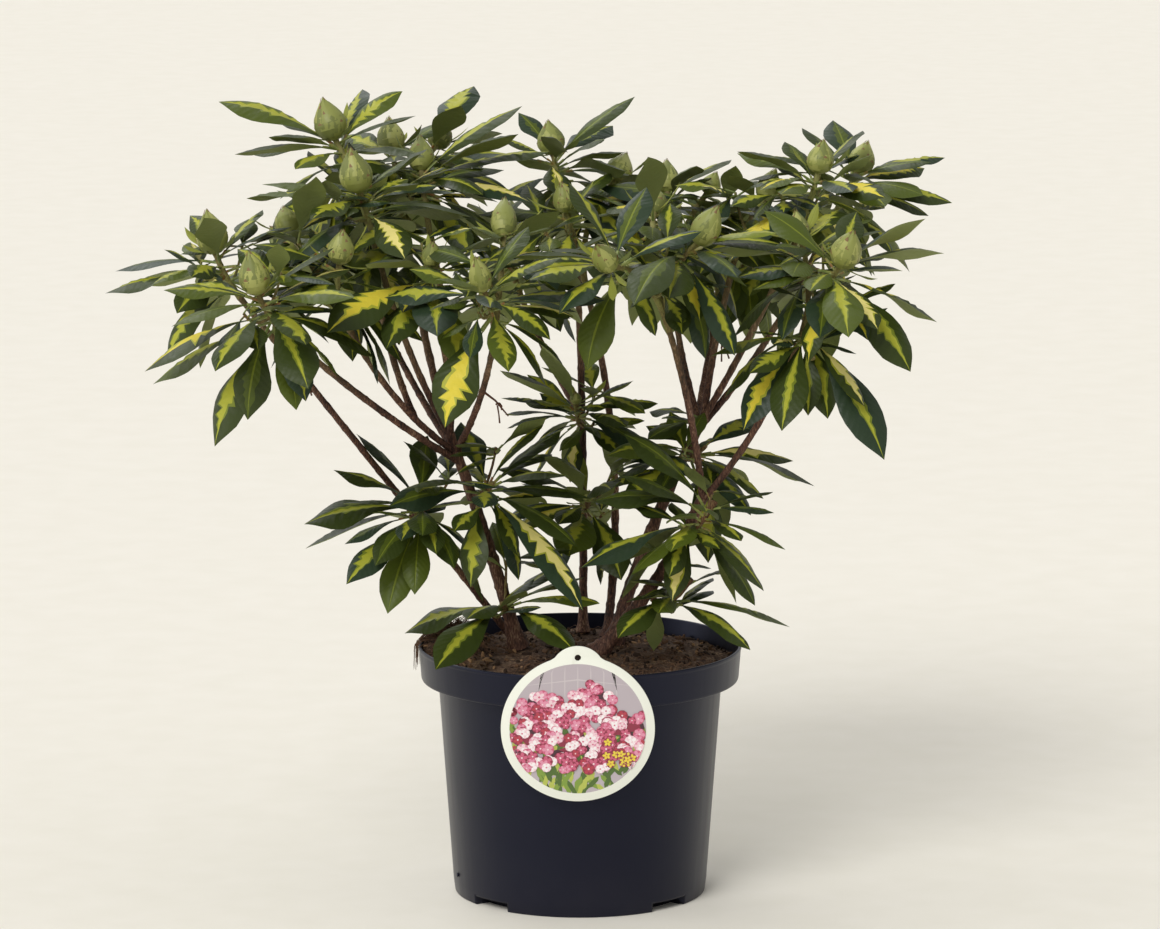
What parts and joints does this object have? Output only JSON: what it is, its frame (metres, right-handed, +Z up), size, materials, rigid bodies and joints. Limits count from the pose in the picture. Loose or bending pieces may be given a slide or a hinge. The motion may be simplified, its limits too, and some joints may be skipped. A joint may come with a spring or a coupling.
{
  "type": "potted rhododendron",
  "caption": "Leafy evergreen shrub with plump flower buds, several bare brown stems and flecked leaves, in a round black nursery pot of soil with a hanging picture card.",
  "frame": {"origin": "centre of the pot's flat underside", "axes": "+Z up along the pot's axis, -Y towards the side with the card, +X to the right seen from that side"},
  "size_m": [0.595, 0.4752, 0.5654],
  "materials": {
    "black_plastic": "satin black moulded pot",
    "moist_peat": "rough dark peat, wood standing in for it",
    "printed_card": "smooth printed plastic card with a white border",
    "brown_bark": "rough red-brown bark",
    "leaf_green": "leathery dark green leaves flecked with yellow"
  },
  "bodies": {
    "root": {"bough_back_left": "brown_bark", "bough_back_middle": "brown_bark", "bough_back_right": "brown_bark", "bough_centre_left": "brown_bark", "bough_centre_right": "brown_bark", "bough_left_crest": "brown_bark", "bough_left_front": "brown_bark", "bough_left_inner": "brown_bark", "bough_left_near": "brown_bark", "bough_left_rear": "brown_bark", "bough_left_top": "brown_bark", "bough_left_upright": "brown_bark", "bough_right_crest": "brown_bark", "bough_right_front": "brown_bark", "bough_right_inner": "brown_bark", "bough_right_rear": "brown_bark", "bough_right_upright": "brown_bark", "foliage_back_left": "leaf_green", "foliage_back_middle": "leaf_green", "foliage_back_right": "leaf_green", "foliage_centre_left": "leaf_green", "foliage_centre_right": "leaf_green", "foliage_far_left": "leaf_green", "foliage_foot_left": "leaf_green", "foliage_foot_right": "leaf_green", "foliage_fork_left": "leaf_green", "foliage_fork_right": "leaf_green", "foliage_left_crest": "leaf_green", "foliage_left_front": "leaf_green", "foliage_left_inner": "leaf_green", "foliage_left_near": "leaf_green", "foliage_left_rear": "leaf_green", "foliage_left_top": "leaf_green", "foliage_left_upright": "leaf_green", "foliage_middle": "leaf_green", "foliage_middle_foot": "leaf_green", "foliage_middle_low": "leaf_green", "foliage_middle_rear": "leaf_green", "foliage_right_crest": "leaf_green", "foliage_right_front": "leaf_green", "foliage_right_inner": "leaf_green", "foliage_right_rear": "leaf_green", "foliage_right_upright": "leaf_green", "foliage_side_left": "leaf_green", "foliage_side_right": "leaf_green", "plant_label": "printed_card", "pot": "black_plastic", "soil": "moist_peat", "stem_left_thin": "brown_bark", "stem_middle_back": "brown_bark", "stem_middle_front": "brown_bark", "trunk_left": "brown_bark", "trunk_right": "brown_bark", "trunk_right_back": "brown_bark"}
  },
  "joints": []
}
